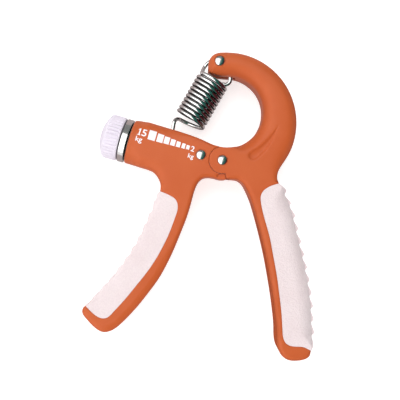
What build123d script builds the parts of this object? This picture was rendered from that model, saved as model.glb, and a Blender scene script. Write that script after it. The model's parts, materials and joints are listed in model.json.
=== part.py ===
from build123d import *
import math
import os

# Adjustable spring hand gripper, lying on its back.  Millimetres.
# Origin: the hinge axis of the two arms, in the plane of the back faces.
# +X runs along the adjusting screw towards the hinge, +Y towards the hook of the moving arm,
# +Z out of the face that carries the scale.

# ---- driving dimensions ----
THICK = 22.0                      # both arms, back face to front face
THROUGH = (-1, THICK + 1)         # limits of a cutter that passes through both faces
MID = THICK / 2                   # height of the screw, the spring and all wire
EDGE_ROUND = 1.5                  # rounding of the arms' long edges
RUN = 0.05                        # radial clearance of a shaft that turns in its hole

# hinge: a tongue of the fixed arm between two cheeks of the moving arm
CHEEK = 5.4                       # thickness of each cheek
TONGUE_Z = (6.0, 16.0)            # tongue, between its two thrust washers
DISC_R = 6.4                      # round end of each cheek
DISC_SEAT_R = 6.65                # hollow in the fixed arm that the disc turns in
TONGUE_R = 6.0
HEEL_R = 9.35                     # heel of the tongue, below the disc
HEEL_SEAT_R = 9.7
SHOULDER_DEG = -62                # shoulder of the moving arm, which meets the fixed lip when closed
HEEL_Z = (2.0, 20.0)              # heel beside the lip, which slides into a pocket of the cheeks
HEEL_INNER_R = 6.85
HEEL_DEG = (-93, -66)
POCKET_INNER_R = 6.6
POCKET_DEG = (-62.5, -33)
POCKET_Z = (1.7, 20.3)
PIN_R = 2.0
PIN_HEAD_R = 2.2
PIN_HEAD_SUNK = 0.1               # top of a head below the arm's face
PIN_DOME_R = 4.0
PIN_RECESS_R = 2.45
PIN_RECESS_DEPTH = 0.9
BUSH_R = 3.2
WASHER_R = 4.6

# screw, barrel and knob, all on one axis along X
AXIS_Y = -3.8
BARREL_R = 11.0
BARREL_Y = -3.5
BARREL_END = -46.1
CAVITY_Y = (-10.3, 1.5)
CAVITY_Z = (4.7, 17.3)
CAVITY_END = -13.2
SLOT_X = (-39.0, -13.3)
SLOT_Z = (6.5, 15.5)
SCREW_R = 2.95
SCREW_X = (-57.0, -6.9)
RETAINER = (-10.6, -0.5)          # pin across the groove near the screw's end
GROOVE_R = 1.2
RING_X = (-50.2, -46.5)
RING_R = 10.8
SPIGOT_R = 8.5
KNOB_X = (-61.0, -50.6)
KNOB_R = 10.55
KNOB_RIM_X = -57.6                # where the side turns into the rounded end
RIB_COUNT = 36
RIB_R = 0.45
RIB_X = (-57.4, -51.2)
INSERT_R = 5.0
INSERT_X = (-57.0, -51.2)
CAP_R = 5.15
CAP_SEAT = -60.0
FIXING_SCREW_R = 1.5
FIXING_HEAD_R = 2.8
FIXING_HEAD_X = (-59.8, -58.6)
CAP_DOME_R = 22.4

# slider and spring
SLIDER_X = (-31.0, -22.4)
EAR_X = (-28.2, -22.6)
EAR_TOP = 5.7
NOTCH_Z = (9.4, 12.6)
NUT_END = -24.6
NUT_HALF = 4.0
BUSH_END = -41.6
SPIGOT_END = -50.0
CROSS_PIN = (-25.4, 3.6)
CROSS_PIN_R = 1.25
ANCHOR = (-14.8, 45.5)            # pin in the tip of the hook
ANCHOR_R = 1.25
WIRE_R = 0.9
COIL_R = 7.3                      # to the middle of the wire
COIL_TURNS = 11
UPPER_TURNS = 3                   # turns that stay with the top loop as the spring stretches
COIL_LOW = (-21.0, 14.3)
COIL_HIGH = (-15.5, 37.4)
LOOP_R = 7.05
LOOP_Y = 40.65

# soft grips over the backs of the handles
CORE_Z = (4.0, 18.0)              # rib of each handle inside its grip
BUMP_HEIGHT = 0.9

# ---- outlines in the plane of the arms ----
HOOK_CENTRE = (-4.6, 23.35)       # round window of the hook
HOOK_R = 17.6
ARCH_CENTRE = (-3.4, 18.3)        # outside of the hook
ARCH_R = 34.3

FIXED_INNER = [
    (-2.2, -9.45), (-4.6, -9.9), (-7.0, -11.3), (-8.4, -13.9), (-8.9, -17.4), (-8.8, -24.5),
    (-8.9, -32.5), (-9.6, -40.6), (-10.6, -50.0), (-11.9, -57.9), (-13.6, -64.7), (-16.0, -71.3),
    (-18.8, -78.3), (-22.1, -85.2), (-25.4, -91.0), (-28.2, -94.3), (-31.8, -96.0), (-36.4, -95.0),
    (-41.8, -91.9), (-44.1, -89.8), (-44.4, -87.6), (-43.2, -85.9),
]
FIXED_GRIP_LINE = [
    (-43.2, -85.9), (-38.6, -88.4), (-35.0, -89.4), (-32.1, -88.7), (-29.8, -85.4), (-26.1, -77.8),
    (-22.8, -70.0), (-19.6, -62.2), (-17.3, -55.0), (-15.6, -47.5), (-14.5, -40.0), (-14.0, -32.5),
    (-14.2, -27.9), (-15.9, -24.9), (-19.4, -23.5), (-24.6, -22.9),
]
FIXED_ARMPIT = [(-24.6, -22.9), (-25.3, -20.0), (-27.2, -17.4), (-30.0, -15.4), (-33.5, -14.4)]
FIXED_TOP = [(-20.0, 7.3), (-15.5, 7.05), (-11.5, 6.6), (-7.0, 5.95), (-3.15, 5.85)]
FIXED_GUSSET = [(-33.5, -14.4), (-25.0, -3.5), (-20.0, 7.3)]
FIXED_GRIP_BACK = [
    (-24.6, -22.9), (-25.6, -24.4), (-26.2, -29.5), (-26.9, -36.0), (-27.8, -42.7), (-29.1, -49.9),
    (-31.1, -57.4), (-33.6, -64.4), (-36.5, -71.4), (-39.8, -78.2), (-43.2, -85.9),
]
FIXED_CORE = [
    (-12.5, -29.0), (-18.0, -27.5), (-22.5, -30.0), (-24.0, -42.0), (-27.5, -56.0), (-33.0, -70.0),
    (-38.5, -82.0), (-36.0, -86.5), (-33.0, -91.5), (-27.0, -88.0), (-16.5, -64.0), (-12.0, -42.0),
]
FIXED_BUMPS = 11

MOVING_INNER = [
    (7.2, -7.5), (10.3, -7.2), (12.8, -8.2), (15.3, -10.5), (18.3, -14.0), (22.8, -20.6),
    (28.6, -30.2), (33.4, -38.7), (38.0, -47.7), (42.4, -56.8), (46.0, -64.9), (48.9, -72.4),
    (50.9, -78.2), (53.8, -82.1), (57.9, -83.6), (62.0, -82.8), (65.5, -81.0), (67.2, -78.8),
    (67.0, -76.0),
]
MOVING_GRIP_LINE = [
    (67.0, -76.0), (62.8, -75.2), (57.6, -76.3), (54.4, -75.9), (52.2, -73.6), (51.0, -70.8),
    (48.3, -63.3), (45.0, -55.4), (40.8, -46.0), (36.3, -37.0), (31.9, -28.6), (27.0, -20.8),
    (23.4, -14.2), (22.5, -10.9), (23.4, -8.0), (26.0, -5.2), (29.3, -3.0),
]
MOVING_NOTCH = [(29.3, -3.0), (27.9, -0.9), (27.45, 1.3), (27.7, 3.7), (28.8, 7.2), (30.3, 12.4)]
MOVING_TIP = [
    (-11.2, 51.65), (-14.9, 50.6), (-17.4, 49.5), (-19.3, 47.5), (-20.0, 45.2), (-19.8, 42.6),
    (-19.2, 40.6), (-18.0, 39.4), (-15.0, 39.2), (-11.2, 39.9),
]
MOVING_GRIP_BACK = [
    (29.3, -3.0), (31.0, -3.9), (34.4, -7.7), (38.9, -13.4), (42.7, -19.7), (46.2, -25.9),
    (49.2, -31.1), (52.2, -36.4), (55.1, -41.8), (57.7, -47.0), (60.1, -52.4), (62.2, -57.8),
    (64.2, -63.6), (66.0, -69.3), (67.0, -76.0),
]
MOVING_CORE = [
    (20.0, -12.0), (26.0, -8.5), (31.0, -9.5), (37.0, -17.5), (46.0, -32.5), (54.0, -47.5),
    (60.0, -62.0), (62.5, -71.0), (60.0, -79.0), (54.0, -79.0), (46.0, -60.5), (33.0, -34.5),
]
MOVING_BUMPS = 13


def polar(radius, degrees, centre=(0, 0)):
    angle = math.radians(degrees)
    return centre[0] + radius * math.cos(angle), centre[1] + radius * math.sin(angle)


def plate(edges, low, high):
    """Solid between two heights over a closed chain of edges."""
    return Pos(0, 0, low) * extrude(make_face(edges), high - low)


def box(x, y, z):
    """Box between two limits along each axis."""
    size = (x[1] - x[0], y[1] - y[0], z[1] - z[0])
    return Pos(sum(x) / 2, sum(y) / 2, sum(z) / 2) * Box(*size)


def post(radius, x, y, low, high):
    """Cylinder along Z."""
    return Pos(x, y, (low + high) / 2) * Cylinder(radius, high - low)


def rod(radius, start, end, y=AXIS_Y):
    """Cylinder along X at the height of the screw."""
    return Pos((start + end) / 2, y, MID) * Rot(0, 90, 0) * Cylinder(radius, end - start)


def ring(points):
    """Closed chain of straight edges."""
    return [Polyline(*points, close=True)]


def soften(solid, runs):
    """Round the edges of a plate that follow the given runs of its outline."""
    middles = [run @ 0.5 for run in runs]
    chosen = []
    for edge in solid.edges():
        point = edge @ 0.5
        if any(math.hypot(point.X - m.X, point.Y - m.Y) < 0.1 for m in middles):
            chosen.append(edge)
    return fillet(chosen, EDGE_ROUND)


def rivet(x, y, shank_r):
    """Pin through both faces with a low domed head in each recess."""
    seat = PIN_RECESS_DEPTH - RUN
    body = post(shank_r, x, y, seat, THICK - seat)
    for side in (-1, 1):
        top = MID + side * (MID - PIN_HEAD_SUNK)
        ball = Pos(x, y, top - side * PIN_DOME_R) * Sphere(PIN_DOME_R)
        ends = sorted((MID + side * (MID - seat), top))
        body += ball & post(PIN_HEAD_R, x, y, *ends)
    return body


def pin_hole(x, y, radius):
    """Through hole with a shallow recess for the head at each face."""
    hole = post(radius, x, y, *THROUGH)
    hole += post(PIN_RECESS_R, x, y, -1, PIN_RECESS_DEPTH)
    hole += post(PIN_RECESS_R, x, y, THICK - PIN_RECESS_DEPTH, THICK + 1)
    return hole


def sector(inner_r, outer_r, angles, heights):
    """Piece of a flat ring round the hinge axis."""
    first, last = angles
    middle = (first + last) / 2
    edges = [
        Line(polar(inner_r, first), polar(outer_r, first)),
        ThreePointArc(polar(outer_r, first), polar(outer_r, middle), polar(outer_r, last)),
        Line(polar(outer_r, last), polar(inner_r, last)),
        ThreePointArc(polar(inner_r, last), polar(inner_r, middle), polar(inner_r, first)),
    ]
    return plate(edges, *heights)


def outer_layers(solid):
    """The part of a cutter that lies in front of and behind the tongue."""
    reach = 60
    front = box((-reach, reach), (-reach, reach), (TONGUE_Z[1], THICK + 1))
    back = box((-reach, reach), (-reach, reach), (-1, TONGUE_Z[0]))
    return (solid & front) + (solid & back)


def housing_arm():
    heel_end = polar(HEEL_R, -45)
    tongue_low = polar(TONGUE_R, -40)
    tongue_high = polar(TONGUE_R, 113.6)
    inner = Spline((0, -HEEL_R), *FIXED_INNER)
    outline = [
        Spline(*FIXED_TOP),
        Line(FIXED_TOP[-1], tongue_high),
        ThreePointArc(tongue_high, polar(TONGUE_R, 35), tongue_low),
        Line(tongue_low, heel_end),
        ThreePointArc(heel_end, polar(HEEL_R, -68), (0, -HEEL_R)),
        inner,
        Spline(*FIXED_GRIP_LINE),
        Spline(*FIXED_ARMPIT),
        Polyline(*FIXED_GUSSET),
    ]
    arm = soften(plate(outline, 0, THICK), [inner])
    arm += rod(BARREL_R, BARREL_END, -14, BARREL_Y)
    arm += plate(ring(FIXED_CORE), *CORE_Z)
    seat = post(DISC_SEAT_R, 0, 0, *THROUGH)
    seat += box((0, 12), (-12, 12), THROUGH)
    arm -= outer_layers(seat)
    arm += sector(HEEL_INNER_R, HEEL_R, HEEL_DEG, HEEL_Z)
    arm -= box((BARREL_END - 1, CAVITY_END), CAVITY_Y, CAVITY_Z)
    arm -= box(SLOT_X, (0, 12), SLOT_Z)
    arm -= rod(SCREW_R + 0.1, CAVITY_END - 1, SCREW_X[1] + 0.2)
    arm -= pin_hole(*RETAINER, PIN_R)
    arm -= post(BUSH_R, 0, 0, 0, THICK)
    return arm


def hook_arm():
    shoulder = polar(DISC_R, SHOULDER_DEG)
    step = polar(9.35, SHOULDER_DEG)
    arch_end = polar(ARCH_R, 97, ARCH_CENTRE)
    window_start = polar(HOOK_R, 99, HOOK_CENTRE)
    window_end = (-2.56, 5.865)
    arch_start = polar(ARCH_R, -5, ARCH_CENTRE)
    inner = Spline(step, *MOVING_INNER)
    notch = Spline(*MOVING_NOTCH, arch_start)
    arch = ThreePointArc(arch_start, polar(ARCH_R, 45, ARCH_CENTRE), arch_end)
    tip = Spline(arch_end, *MOVING_TIP, window_start)
    window = ThreePointArc(window_start, polar(HOOK_R, 0, HOOK_CENTRE), window_end)
    outline = [
        Line(shoulder, step),
        inner,
        Spline(*MOVING_GRIP_LINE),
        notch,
        arch,
        tip,
        window,
        ThreePointArc(window_end, (-DISC_R, 0), shoulder),
    ]
    arm = soften(plate(outline, 0, THICK), [inner, notch, arch, tip, window])
    arm += plate(ring(MOVING_CORE), *CORE_Z)
    layer = (CHEEK, THICK - CHEEK)
    arm -= post(DISC_SEAT_R + 0.25, 0, 0, *layer)
    sweep_edges = [
        Line((0, 0), polar(HEEL_SEAT_R, -100)),
        ThreePointArc(polar(HEEL_SEAT_R, -100), polar(HEEL_SEAT_R, -57), polar(HEEL_SEAT_R, -14)),
        Line(polar(HEEL_SEAT_R, -14), (0, 0)),
    ]
    arm -= plate(sweep_edges, *layer)
    arm -= sector(POCKET_INNER_R, HEEL_SEAT_R, POCKET_DEG, POCKET_Z)
    arm -= pin_hole(0, 0, PIN_R)
    arm -= pin_hole(*ANCHOR, ANCHOR_R + RUN)
    arm -= post(LOOP_R + WIRE_R + 1.0, ANCHOR[0], LOOP_Y, MID - 2, MID + 2)
    return arm


def bumpy_edge(points, count):
    """Chain of shallow arcs along a spline, each bulging to its left."""
    base = Spline(*points)
    edges = []
    for i in range(count):
        a = base @ (i / count)
        b = base @ ((i + 1) / count)
        middle = base @ ((i + 0.5) / count)
        along = (b - a).normalized()
        outward = Vector(-along.Y, along.X, 0)
        edges.append(ThreePointArc(a, middle + outward * BUMP_HEIGHT, b))
    return edges


def grip(line, back, bumps, core):
    """Sleeve over the back of a handle, hollow where the handle's rib goes in."""
    sleeve = plate([Spline(*line)] + bumpy_edge(back, bumps), 0, THICK)
    return sleeve - plate(ring(core), *CORE_Z)


def spring_point(share):
    """Point on the coil's axis, from its low end (0) to its high end (1)."""
    low = Vector(*COIL_LOW, MID)
    high = Vector(*COIL_HIGH, MID)
    return low + (high - low) * share


def coils(first, last):
    """Wire rings that stand for the turns of the coil from first up to last."""
    axis = spring_point(1) - spring_point(0)
    rings = []
    for i in range(first, last):
        centre = spring_point((i + 0.5) / COIL_TURNS)
        rings.append(Plane(origin=centre, z_dir=axis) * Torus(COIL_R, WIRE_R))
    return Compound(children=rings)


def wire(path):
    """Round wire along a chain of lines and arcs at the height of the spring."""
    start = path @ 0
    section = Plane(origin=start, z_dir=path % 0) * Circle(WIRE_R)
    return Pos(0, 0, MID) * sweep(section, path=path)


def top_loop():
    left = (ANCHOR[0] - LOOP_R, LOOP_Y)
    right = (ANCHOR[0] + LOOP_R, LOOP_Y)
    path = Wire([
        Line((left[0], 39.3), left),
        ThreePointArc(left, (ANCHOR[0], LOOP_Y + LOOP_R), right),
        ThreePointArc(right, (-8.4, 38.9), (-9.9, 38.3)),
    ])
    return wire(path)


def bottom_hook():
    stem_x = CROSS_PIN[0] - CROSS_PIN_R - WIRE_R - RUN
    bend = CROSS_PIN[0] - stem_x
    path = Wire([
        ThreePointArc((-25.9, 13.9), (-27.8, 13.2), (-28.3, 11.4)),
        Line((-28.3, 11.4), (stem_x, 7.8)),
        Line((stem_x, 7.8), (stem_x, CROSS_PIN[1])),
        ThreePointArc(
            (stem_x, CROSS_PIN[1]),
            (CROSS_PIN[0], CROSS_PIN[1] - bend),
            (CROSS_PIN[0] + bend, CROSS_PIN[1]),
        ),
    ])
    return wire(path)


def nut_seat(start):
    """Square block about the screw, from the given X to the nut's inner end."""
    sides = ((AXIS_Y - NUT_HALF, AXIS_Y + NUT_HALF), (MID - NUT_HALF, MID + NUT_HALF))
    return box((start, NUT_END), *sides)


def slider():
    block = box(SLIDER_X, (CAVITY_Y[0] + 0.2, CAVITY_Y[1] - 0.2), (CAVITY_Z[0] + 0.2, CAVITY_Z[1] - 0.2))
    block += box(EAR_X, (0, EAR_TOP), (SLOT_Z[0] + 0.2, SLOT_Z[1] - 0.2))
    block -= box((-29.4, 0), (0.4, EAR_TOP + 1), NOTCH_Z)
    block -= rod(SCREW_R + 0.25, SLIDER_X[0] - 1, SLIDER_X[1] + 1)
    block -= nut_seat(SLIDER_X[0] - 1)
    return block - post(CROSS_PIN_R, *CROSS_PIN, SLOT_Z[0], SLOT_Z[1])


def slider_nut():
    return nut_seat(SLIDER_X[0]) - rod(SCREW_R + RUN, SLIDER_X[0] - 1, NUT_END + 1)


def adjusting_screw():
    screw = rod(SCREW_R, *SCREW_X)
    groove = rod(SCREW_R + 1, RETAINER[0] - PIN_R - 0.2, RETAINER[0] + PIN_R + 0.2)
    screw -= groove
    screw += rod(GROOVE_R, RETAINER[0] - 3, RETAINER[0] + 3)
    return screw - rod(FIXING_SCREW_R, SCREW_X[0] - 1, SPIGOT_END + 1)


def barrel_bush():
    plug = box((BARREL_END, BUSH_END), CAVITY_Y, CAVITY_Z)
    plug += rod(SPIGOT_R, SPIGOT_END, BARREL_END)
    return plug - rod(SCREW_R + RUN, SPIGOT_END - 1, BUSH_END + 1)


def turned(profile):
    """Solid of revolution about the screw's axis; the profile is (x, radius) edges."""
    face = Plane(origin=(0, AXIS_Y, MID), x_dir=(1, 0, 0), z_dir=(0, 0, 1)) * make_face(profile)
    return revolve(face, Axis((0, AXIS_Y, MID), (1, 0, 0)))


def knob():
    rim = (KNOB_RIM_X, KNOB_R)
    profile = [
        Line((KNOB_X[1], 0), (KNOB_X[1], KNOB_R)),
        Line((KNOB_X[1], KNOB_R), rim),
        ThreePointArc(rim, (-58.55, 10.1), (-59.05, 9.2)),
        ThreePointArc((-59.05, 9.2), (-60.5, 4.7), (KNOB_X[0], 0)),
        Line((KNOB_X[0], 0), (KNOB_X[1], 0)),
    ]
    body = turned(profile)
    for i in range(RIB_COUNT):
        y, z = polar(KNOB_R, i * 360 / RIB_COUNT)
        rib = rod(RIB_R, *RIB_X, AXIS_Y + y)
        body += Pos(0, 0, z) * rib
    body -= rod(INSERT_R, INSERT_X[0], KNOB_X[1] + 1)
    body -= rod(FIXING_SCREW_R + 0.1, FIXING_HEAD_X[1] - 0.4, INSERT_X[0] + 1)
    return body - rod(CAP_R + RUN, KNOB_X[0] - 1, FIXING_HEAD_X[1])


def knob_cap():
    ball = Pos(KNOB_X[0] + CAP_DOME_R, AXIS_Y, MID) * Sphere(CAP_DOME_R)
    return ball & rod(CAP_R, KNOB_X[0], CAP_SEAT)


PARTS = {
    "housing_arm": housing_arm(),
    "palm_grip": grip(FIXED_GRIP_LINE, FIXED_GRIP_BACK, FIXED_BUMPS, FIXED_CORE),
    "pivot_bush": post(BUSH_R, 0, 0, *TONGUE_Z) - post(PIN_R + RUN, 0, 0, 0, THICK),
    "front_thrust_washer": post(WASHER_R, 0, 0, 16.0, 16.5) - post(PIN_R + 0.1, 0, 0, 0, THICK),
    "rear_thrust_washer": post(WASHER_R, 0, 0, 5.5, 6.0) - post(PIN_R + 0.1, 0, 0, 0, THICK),
    "screw_retaining_pin": rivet(*RETAINER, PIN_R),
    "barrel_bush": barrel_bush(),
    "collar_ring": rod(RING_R, *RING_X) - rod(SPIGOT_R, -52, -45),
    "knob_thrust_washer": rod(7.0, -50.55, -50.05) - rod(SCREW_R + 0.15, -52, -49),
    "hook_arm": hook_arm(),
    "finger_grip": grip(MOVING_GRIP_LINE, MOVING_GRIP_BACK, MOVING_BUMPS, MOVING_CORE),
    "pivot_pin": rivet(0, 0, PIN_R),
    "spring_anchor_pin": rivet(*ANCHOR, ANCHOR_R),
    "spring_top_loop": top_loop(),
    "spring_upper_turns": coils(COIL_TURNS - UPPER_TURNS, COIL_TURNS),
    "spring_coils": coils(0, COIL_TURNS - UPPER_TURNS),
    "spring_bottom_hook": bottom_hook(),
    "spring_slider": slider(),
    "slider_nut": slider_nut(),
    "slider_cross_pin": post(CROSS_PIN_R, *CROSS_PIN, SLOT_Z[0] + 0.3, SLOT_Z[1] - 0.3),
    "adjusting_screw": adjusting_screw(),
    "knob": knob(),
    "knob_insert": rod(INSERT_R, *INSERT_X) - rod(SCREW_R, -58, -50),
    "knob_fixing_screw": rod(FIXING_SCREW_R, FIXING_HEAD_X[1], -50.0) + rod(FIXING_HEAD_R, *FIXING_HEAD_X),
    "knob_cap": knob_cap(),
}

os.makedirs("parts", exist_ok=True)
for name, part in PARTS.items():
    export_step(part, f"parts/{name}.step")
    print(name, round(part.volume, 1), "mm3")
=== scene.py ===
import json
import math

import bmesh
import bpy
import numpy as np
from mathutils import Matrix, Vector
from mathutils.geometry import delaunay_2d_cdt


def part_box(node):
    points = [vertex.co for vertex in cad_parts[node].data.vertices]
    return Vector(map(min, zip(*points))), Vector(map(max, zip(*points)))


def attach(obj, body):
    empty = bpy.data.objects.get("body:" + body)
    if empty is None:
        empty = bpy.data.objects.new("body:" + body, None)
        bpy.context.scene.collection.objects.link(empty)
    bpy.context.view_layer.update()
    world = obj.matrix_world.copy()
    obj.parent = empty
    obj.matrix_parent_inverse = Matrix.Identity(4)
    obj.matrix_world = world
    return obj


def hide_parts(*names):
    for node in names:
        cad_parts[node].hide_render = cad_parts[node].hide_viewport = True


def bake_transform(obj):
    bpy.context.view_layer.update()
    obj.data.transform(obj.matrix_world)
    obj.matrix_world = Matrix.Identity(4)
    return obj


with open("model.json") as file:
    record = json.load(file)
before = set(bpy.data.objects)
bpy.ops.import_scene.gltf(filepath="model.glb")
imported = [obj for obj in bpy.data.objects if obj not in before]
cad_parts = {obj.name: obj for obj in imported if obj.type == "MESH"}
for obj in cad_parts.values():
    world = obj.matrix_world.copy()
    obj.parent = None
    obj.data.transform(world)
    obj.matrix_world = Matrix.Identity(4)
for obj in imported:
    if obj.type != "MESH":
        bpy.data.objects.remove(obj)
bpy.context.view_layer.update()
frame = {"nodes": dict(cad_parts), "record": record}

MM = 0.001

# ---- places and sizes from the frame, in millimetres ----


def node_box(name):
    """Lowest and highest corner of a CAD node, in millimetres."""
    low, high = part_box(name)
    return np.array(low) / MM, np.array(high) / MM


def node_centre(name):
    low, high = node_box(name)
    return (low + high) / 2


ARM_LOW, ARM_HIGH = node_box("hook_arm")
MID = (ARM_LOW[2] + ARM_HIGH[2]) / 2
HALF = (ARM_HIGH[2] - ARM_LOW[2]) / 2
RING_LOW, RING_HIGH = node_box("collar_ring")
KNOB_LOW, KNOB_HIGH = node_box("knob")
CAP_LOW = node_box("knob_cap")[0]
AXIS_Y = (RING_LOW[1] + RING_HIGH[1]) / 2
BARREL_END = node_box("housing_arm")[0][0]
PIVOT = node_centre("pivot_pin")
RETAINER = node_centre("screw_retaining_pin")
ANCHOR = node_centre("spring_anchor_pin")
CROSS_PIN = node_centre("slider_cross_pin")
WIRE_R = (node_box("spring_bottom_hook")[1][2] - node_box("spring_bottom_hook")[0][2]) / 2
COIL_OUT = (node_box("spring_coils")[1][2] - node_box("spring_coils")[0][2]) / 2
COIL_R = COIL_OUT - WIRE_R

# ---- hinge, as in the CAD model ----
DISC_R = 6.5
SEAT_R = 6.62
TONGUE_R = 6.0
HEEL_R = 9.35
TONGUE_HALF = 5.0
FORK_HALF = 5.6
HEEL_SEAT_R = 9.7
SHOULDER_DEG = -62
HEEL_INNER_R = 6.75
HEEL_DEG = (-93, -64)
HEEL_HALF = 9.9
POCKET_INNER_R = 6.6
POCKET_DEG = (-62.5, -33)
POCKET_HALF = 10.1
SLOT_HALF = 4.5                   # slot in the barrel for the spring's lower hook
GROOVE_HALF = 2                   # groove under the hook's tip for the spring's loop
GROOVE_R = 9.6
HEAD_R = 2.2                      # pin heads, and the shallow wells that they sit in
RECESS_R = 2.45
RECESS_DEPTH = 0.9

# ---- edges of the arms and grips ----
BARREL_TOP = 7.75
BARREL_BOTTOM = -14.5
BARREL_ROUND = 5.4                # rounding of the barrel, which grows to half its thickness
DISC_EDGE_ROUND = 0.45            # at the round seam of the hinge
GRIP_EDGE_ROUND = 0.4
STRIP_SLOPE = 0.3                 # fall of the strip along a handle's inner edge
GRIP_SUNK = 0.15                  # grips lie this far below the arms' faces
THINNEST = 0.02                   # half thickness that no height falls below

# ---- rows of mesh points ----
RING_OFFSETS = [0.04, 0.12, 0.26, 0.45, 0.7, 1.0, 1.35, 1.8, 2.35, 3.0]       # along an outline
CREASE_OFFSETS = [-0.35, 0.0, 0.2, 0.4, 0.6, 0.8, 1.0, 1.2, 1.45]             # inside a crease
RECESS_ROWS = [0.9, 1.7, 2.1, 2.28, 2.36, 2.44, 2.52, 2.6, 2.7, 2.9, 3.3]     # round a pin

# ---- collar, knob and print ----
RING_SEAMS = (0.3, 0.55)          # gap to the knob and to the barrel
RIBS = 36
PRINT_PROUD = 0.03                # the print stands this far above the barrel
PRINT_THICK = 0.12

# ---- spring ----
VISUAL_WIRE_R = WIRE_R + 0.1
COIL_TURNS = 11
COIL_LONG = 23.4
COIL_LEAN_DEG = 13.4
FIRST_TURN = 0.12
FIRST_TURN_DROP = 1.6             # how far the lowest turn opens towards its hook
SPLIT_TURNS = (10.75, 8.25)       # where the wire is divided into its three pieces
LOOP_MID_Y = 40.0                 # centre of the top loop's half ellipse

# ---- camera and light ----
CAMERA_HEIGHT = 0.352
CAMERA_AXIS = (-0.00495, -0.0215)
CAMERA_TURN_DEG = 16.5
LENS_MM = 61.9
PALE = (0.93, 0.93, 0.93)
DARK_RED = (0.08, 0.012, 0.016)
WORLD_STOPS = [
    (0.02, (0.9, 0.92, 0.92)), (0.08, (0.03, 0.15, 0.12)), (0.66, (0.02, 0.10, 0.08)),
    (0.74, (0.06, 0.008, 0.012)),
]

# ---- outlines of the arms, points in millimetres ----
HOOK_CENTRE = (-4.6, 23.35)
HOOK_R = 17.6
WINDOW_END_DEG = -263.4 + 180
ARCH_CENTRE = (-3.4, 18.3)
ARCH_R = 34.3
FIXED_INNER = [
    (-2.2, -9.45), (-4.6, -9.9), (-7.0, -11.3), (-8.4, -13.9), (-8.9, -17.4), (-8.8, -24.5),
    (-8.9, -32.5), (-9.6, -40.6), (-10.6, -50.0), (-11.9, -57.9), (-13.6, -64.7), (-16.0, -71.3),
    (-18.8, -78.3), (-22.1, -85.2), (-25.4, -91.0), (-28.2, -94.3), (-31.8, -96.0), (-36.4, -95.0),
    (-41.8, -91.9), (-44.1, -89.8), (-44.4, -87.6), (-43.2, -85.9),
]
FIXED_GRIP_LINE = [
    (-43.2, -85.9), (-38.6, -88.4), (-35.0, -89.4), (-32.1, -88.7), (-29.8, -85.4), (-26.1, -77.8),
    (-22.8, -70.0), (-19.6, -62.2), (-17.3, -55.0), (-15.6, -47.5), (-14.5, -40.0), (-14.0, -32.5),
    (-14.2, -27.9), (-15.9, -24.9), (-19.4, -23.5), (-24.6, -22.9),
]
FIXED_ARMPIT = [
    (-24.6, -22.9), (-25.3, -20.0), (-27.2, -17.4), (-30.0, -15.4), (-33.5, -14.6), (-38.0, -14.5),
]
FIXED_TOP = [
    (-45.6, 6.9), (-44.6, 7.3), (-42.0, 7.75), (-36.0, 7.7), (-26.0, 7.5), (-18.0, 7.2),
    (-11.5, 6.6), (-7.0, 5.95), (-3.15, 5.85),
]
FIXED_GRIP_BACK = [
    (-24.6, -22.9), (-25.6, -24.4), (-26.2, -29.5), (-26.9, -36.0), (-27.8, -42.7), (-29.1, -49.9),
    (-31.1, -57.4), (-33.6, -64.4), (-36.5, -71.4), (-39.8, -78.2), (-43.2, -85.9),
]
MOVING_INNER = [
    (7.2, -7.5), (10.3, -7.2), (12.8, -8.2), (15.3, -10.5), (18.3, -14.0), (22.8, -20.6),
    (28.6, -30.2), (33.4, -38.7), (38.0, -47.7), (42.4, -56.8), (46.0, -64.9), (48.9, -72.4),
    (50.9, -78.2), (53.8, -82.1), (57.9, -83.6), (62.0, -82.8), (65.5, -81.0), (67.2, -78.8),
    (67.0, -76.0),
]
MOVING_GRIP_LINE = [
    (67.0, -76.0), (62.8, -75.2), (57.6, -76.3), (54.4, -75.9), (52.2, -73.6), (51.0, -70.8),
    (48.3, -63.3), (45.0, -55.4), (40.8, -46.0), (36.3, -37.0), (31.9, -28.6), (27.0, -20.8),
    (23.4, -14.2), (22.5, -10.9), (23.4, -8.0), (26.0, -5.2), (29.3, -3.0),
]
MOVING_NOTCH = [(29.3, -3.0), (27.9, -0.9), (27.45, 1.3), (27.7, 3.7), (28.8, 7.2), (30.3, 12.4)]
MOVING_TIP = [
    (-11.2, 51.65), (-14.9, 50.6), (-17.4, 49.5), (-19.3, 47.5), (-20.0, 45.2), (-19.8, 42.6),
    (-19.2, 40.6), (-18.0, 39.4), (-15.0, 39.2), (-11.2, 39.9),
]
MOVING_GRIP_BACK = [
    (29.3, -3.0), (31.0, -3.9), (34.4, -7.7), (38.9, -13.4), (42.7, -19.7), (46.2, -25.9),
    (49.2, -31.1), (52.2, -36.4), (55.1, -41.8), (57.7, -47.0), (60.1, -52.4), (62.2, -57.8),
    (64.2, -63.6), (66.0, -69.3), (67.0, -76.0),
]
LEAF = [
    (21.1, 24.5), (19.3, 20.4), (16.3, 14.4), (13.2, 9.9), (10.9, 6.9), (11.0, 4.9), (12.8, 3.7),
    (15.2, 4.1), (17.0, 6.3), (18.9, 9.7), (20.3, 13.8), (21.1, 19.0),
]

# ================= curves in the plane =================


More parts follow.
